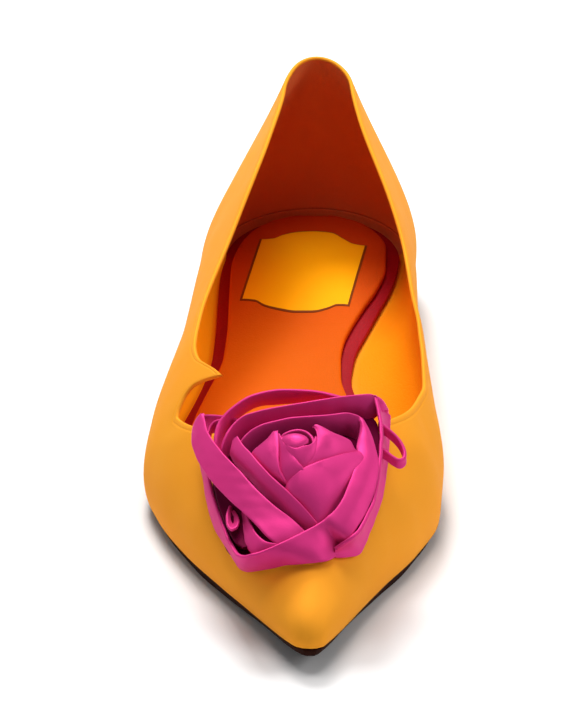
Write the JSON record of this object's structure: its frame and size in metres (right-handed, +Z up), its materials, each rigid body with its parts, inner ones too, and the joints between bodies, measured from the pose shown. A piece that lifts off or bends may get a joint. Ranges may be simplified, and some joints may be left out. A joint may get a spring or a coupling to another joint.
{
  "type": "satin ballet flat",
  "caption": "Pointed satin ballet flat, right foot: low heel, cut-out side, padded sock and a folded satin rose on the vamp.",
  "frame": {"origin": "centre of the bounding box in plan, on the floor plane that the heel and forefoot stand on", "axes": "+Z up, +Y from the toe towards the heel, +X towards the inner (medial) side of the foot"},
  "size_m": [0.0808, 0.2574, 0.0692],
  "materials": {
    "satin": "orange satin over a stiff backing, lined",
    "rose_satin": "fuchsia satin, folded strips",
    "sole_leather": "dark brown sole leather with a painted edge",
    "insole_leather": "crimson kid leather",
    "sock_leather": "orange kid leather over thin foam"
  },
  "bodies": {
    "root": {"upper": "satin", "outsole": "sole_leather", "heel": "sole_leather", "insole": "insole_leather", "sock_pad": "sock_leather", "rose_frame": "rose_satin", "rose_petals": "rose_satin", "rose_bud": "rose_satin"}
  },
  "joints": []
}
